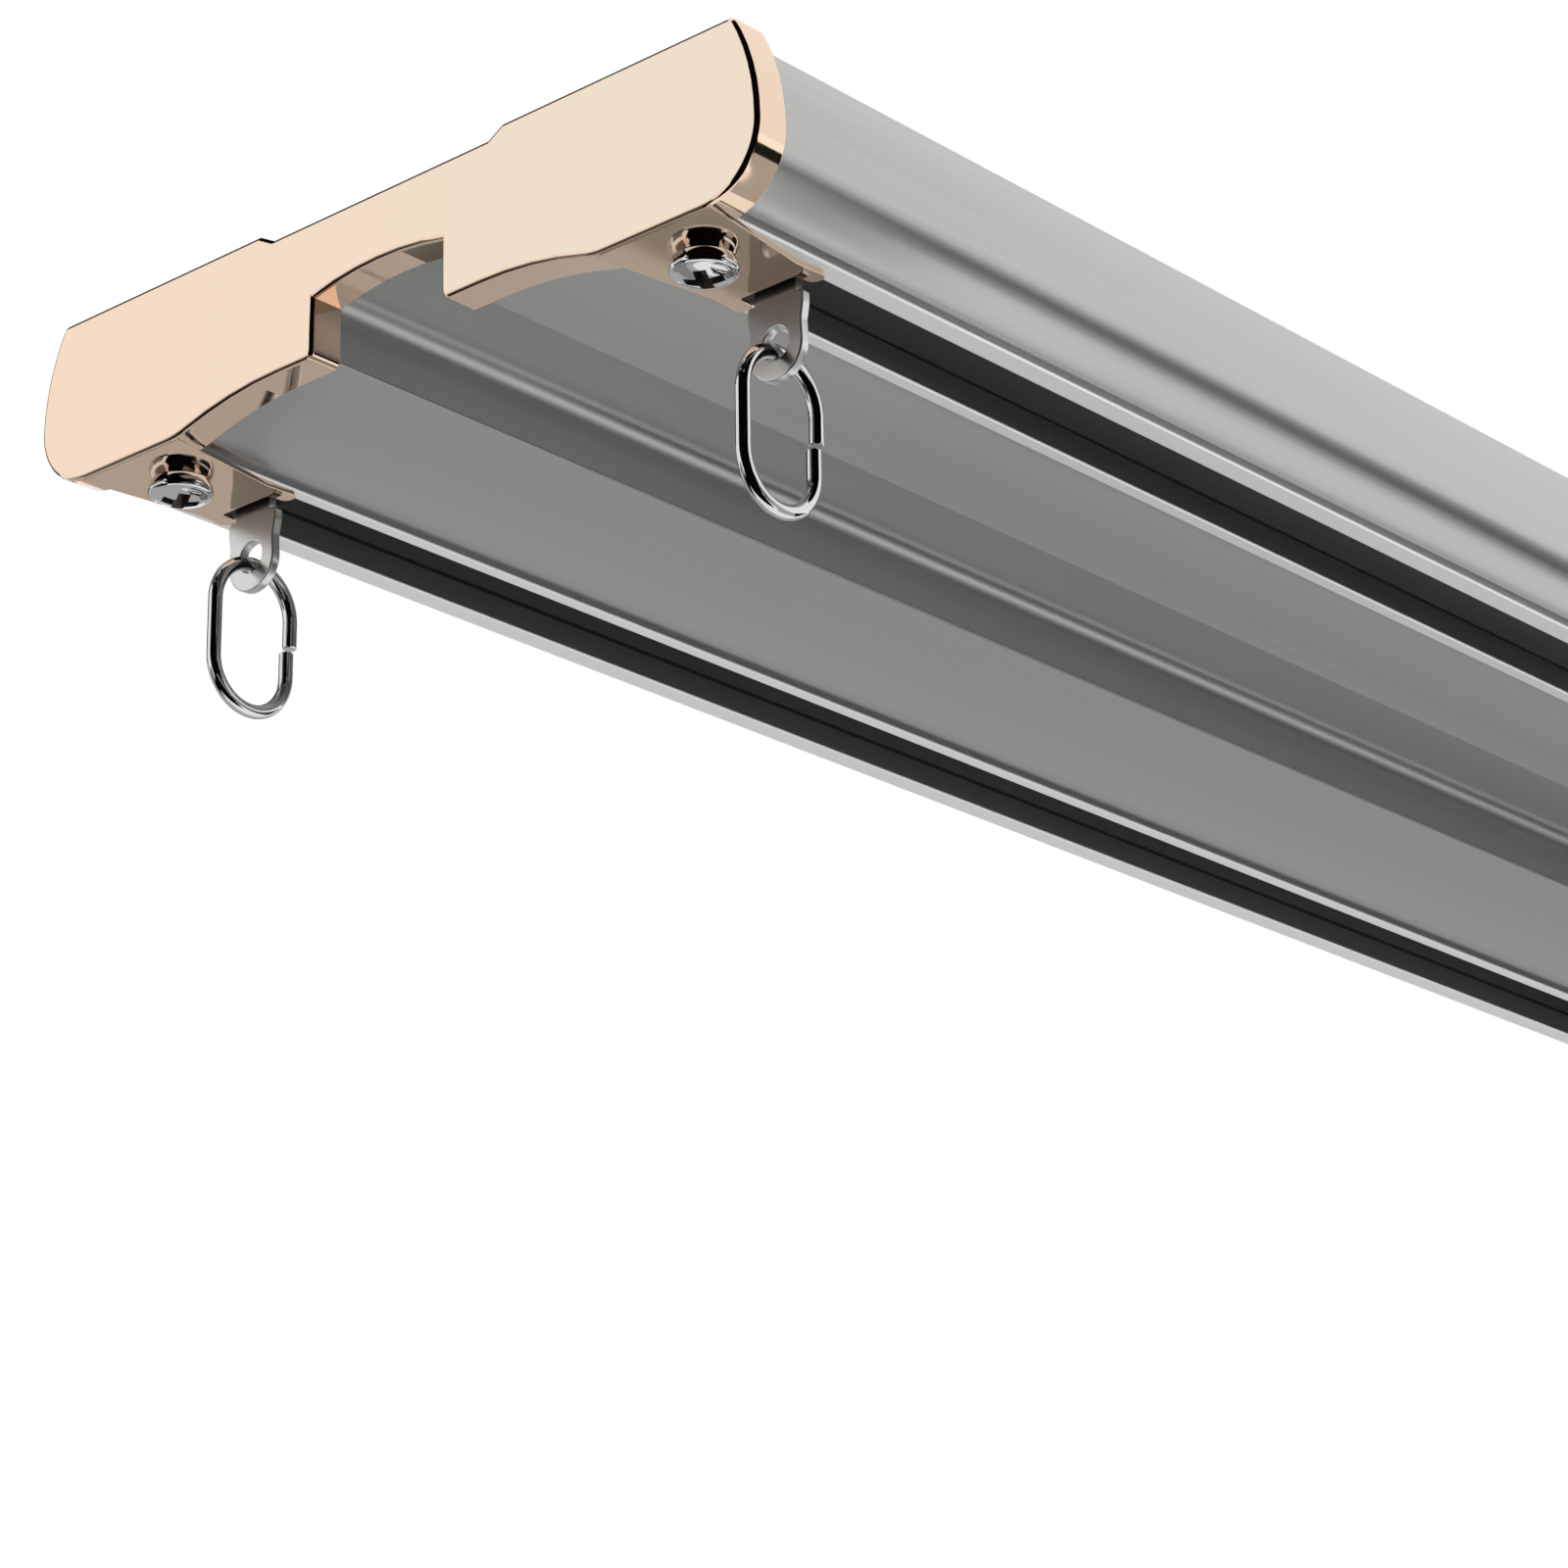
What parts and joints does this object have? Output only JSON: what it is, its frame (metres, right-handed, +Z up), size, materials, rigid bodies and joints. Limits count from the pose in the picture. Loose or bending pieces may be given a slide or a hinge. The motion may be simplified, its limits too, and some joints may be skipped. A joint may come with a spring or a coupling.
{
  "type": "double curtain track",
  "caption": "Ceiling track for two curtains: extruded rail with two slotted channels, plated end caps, turn-lever ceiling clips and wheeled runners with hanger tabs and split rings.",
  "frame": {"origin": "in the ceiling plane, at the middle of the track, halfway between the two ceiling screw holes", "axes": "+X along the rail from the near cap to the far cap, -Y towards the room, +Z up towards the ceiling"},
  "size_m": [0.8038, 0.1194, 0.0497],
  "materials": {
    "anodised_aluminium": "satin silver anodised extrusion",
    "champagne_plate": "champagne gold plating on a zinc casting, satin on the face and bright on the rim",
    "bright_chrome": "bright plated steel",
    "satin_steel": "satin nickel plated steel",
    "zinc_steel": "zinc plated steel",
    "white_nylon": "moulded white nylon",
    "black_nylon": "moulded black nylon",
    "strip_nylon": "dark grey nylon strip"
  },
  "bodies": {
    "rail": {"rail_profile": "anodised_aluminium", "front_running_strips": "strip_nylon", "rear_running_strips": "strip_nylon", "near_end_cap": "champagne_plate", "near_cap_screws": "bright_chrome", "near_clamp_plates": "zinc_steel", "near_clip_plate": "zinc_steel", "near_clip_rivet": "satin_steel", "far_end_cap": "champagne_plate", "far_cap_screws": "bright_chrome", "far_clamp_plates": "zinc_steel", "far_clip_plate": "zinc_steel", "far_clip_rivet": "satin_steel"},
    "near_lever": {"near_clip_lever": "zinc_steel"},
    "far_lever": {"far_clip_lever": "zinc_steel"},
    "front_1_runner": {"front_1_block": "black_nylon", "front_1_tab": "satin_steel"},
    "front_1_wheels": {"front_1_wheelset": "white_nylon"},
    "front_1_swing": {"front_1_ring": "bright_chrome"},
    "front_2_runner": {"front_2_block": "black_nylon", "front_2_tab": "satin_steel"},
    "front_2_wheels": {"front_2_wheelset": "white_nylon"},
    "front_2_swing": {"front_2_ring": "bright_chrome"},
    "front_3_runner": {"front_3_block": "black_nylon", "front_3_tab": "satin_steel"},
    "front_3_wheels": {"front_3_wheelset": "white_nylon"},
    "front_3_swing": {"front_3_ring": "bright_chrome"},
    "rear_1_runner": {"rear_1_block": "black_nylon", "rear_1_tab": "satin_steel"},
    "rear_1_wheels": {"rear_1_wheelset": "white_nylon"},
    "rear_1_swing": {"rear_1_ring": "bright_chrome"},
    "rear_2_runner": {"rear_2_block": "black_nylon", "rear_2_tab": "satin_steel"},
    "rear_2_wheels": {"rear_2_wheelset": "white_nylon"},
    "rear_2_swing": {"rear_2_ring": "bright_chrome"},
    "rear_3_runner": {"rear_3_block": "black_nylon", "rear_3_tab": "satin_steel"},
    "rear_3_wheels": {"rear_3_wheelset": "white_nylon"},
    "rear_3_swing": {"rear_3_ring": "bright_chrome"}
  },
  "joints": [
    {"name": "near_lever_turn", "type": "hinge", "parent": "rail", "child": "near_lever", "pos_m": [-0.25, 0.0074, -0.00525], "axis": [0, 0, 1], "range_deg": [0, 90]},
    {"name": "far_lever_turn", "type": "hinge", "parent": "rail", "child": "far_lever", "pos_m": [0.25, 0.0074, -0.00525], "axis": [0, 0, 1], "range_deg": [0, 90]},
    {"name": "front_1_travel", "type": "slide", "parent": "rail", "child": "front_1_runner", "axis": [1, 0, 0], "range_m": [0, 0.18]},
    {"name": "front_1_roll", "type": "hinge", "parent": "front_1_runner", "child": "front_1_wheels", "pos_m": [-0.3809, -0.04355, -0.0108], "axis": [0, 1, 0], "range_deg": [0, 1664]},
    {"name": "front_1_ring_swing", "type": "hinge", "parent": "front_1_runner", "child": "front_1_swing", "pos_m": [-0.3809, -0.04355, -0.0296], "axis": [1, 0, 0], "range_deg": [-75, 75]},
    {"name": "front_2_travel", "type": "slide", "parent": "rail", "child": "front_2_runner", "axis": [1, 0, 0], "range_m": [-0.18, 0.18]},
    {"name": "front_2_roll", "type": "hinge", "parent": "front_2_runner", "child": "front_2_wheels", "pos_m": [0, -0.04355, -0.0108], "axis": [0, 1, 0], "range_deg": [-1664, 1664]},
    {"name": "front_2_ring_swing", "type": "hinge", "parent": "front_2_runner", "child": "front_2_swing", "pos_m": [0, -0.04355, -0.0296], "axis": [1, 0, 0], "range_deg": [-75, 75]},
    {"name": "front_3_travel", "type": "slide", "parent": "rail", "child": "front_3_runner", "axis": [1, 0, 0], "range_m": [-0.18, 0]},
    {"name": "front_3_roll", "type": "hinge", "parent": "front_3_runner", "child": "front_3_wheels", "pos_m": [0.3809, -0.04355, -0.0108], "axis": [0, 1, 0], "range_deg": [-1664, 0]},
    {"name": "front_3_ring_swing", "type": "hinge", "parent": "front_3_runner", "child": "front_3_swing", "pos_m": [0.3809, -0.04355, -0.0296], "axis": [1, 0, 0], "range_deg": [-75, 75]},
    {"name": "rear_1_travel", "type": "slide", "parent": "rail", "child": "rear_1_runner", "axis": [1, 0, 0], "range_m": [0, 0.18]},
    {"name": "rear_1_roll", "type": "hinge", "parent": "rear_1_runner", "child": "rear_1_wheels", "pos_m": [-0.3809, 0.04355, -0.0108], "axis": [0, 1, 0], "range_deg": [0, 1664]},
    {"name": "rear_1_ring_swing", "type": "hinge", "parent": "rear_1_runner", "child": "rear_1_swing", "pos_m": [-0.3809, 0.04355, -0.0296], "axis": [1, 0, 0], "range_deg": [-75, 75]},
    {"name": "rear_2_travel", "type": "slide", "parent": "rail", "child": "rear_2_runner", "axis": [1, 0, 0], "range_m": [-0.18, 0.18]},
    {"name": "rear_2_roll", "type": "hinge", "parent": "rear_2_runner", "child": "rear_2_wheels", "pos_m": [0, 0.04355, -0.0108], "axis": [0, 1, 0], "range_deg": [-1664, 1664]},
    {"name": "rear_2_ring_swing", "type": "hinge", "parent": "rear_2_runner", "child": "rear_2_swing", "pos_m": [0, 0.04355, -0.0296], "axis": [1, 0, 0], "range_deg": [-75, 75]},
    {"name": "rear_3_travel", "type": "slide", "parent": "rail", "child": "rear_3_runner", "axis": [1, 0, 0], "range_m": [-0.18, 0]},
    {"name": "rear_3_roll", "type": "hinge", "parent": "rear_3_runner", "child": "rear_3_wheels", "pos_m": [0.3809, 0.04355, -0.0108], "axis": [0, 1, 0], "range_deg": [-1664, 0]},
    {"name": "rear_3_ring_swing", "type": "hinge", "parent": "rear_3_runner", "child": "rear_3_swing", "pos_m": [0.3809, 0.04355, -0.0296], "axis": [1, 0, 0], "range_deg": [-75, 75]}
  ],
  "couplings": [
    {"joint": "front_1_roll", "follows": "front_1_travel", "rad_per_m": 161.29},
    {"joint": "front_2_roll", "follows": "front_2_travel", "rad_per_m": 161.29},
    {"joint": "front_3_roll", "follows": "front_3_travel", "rad_per_m": 161.29},
    {"joint": "rear_1_roll", "follows": "rear_1_travel", "rad_per_m": 161.29},
    {"joint": "rear_2_roll", "follows": "rear_2_travel", "rad_per_m": 161.29},
    {"joint": "rear_3_roll", "follows": "rear_3_travel", "rad_per_m": 161.29}
  ]
}
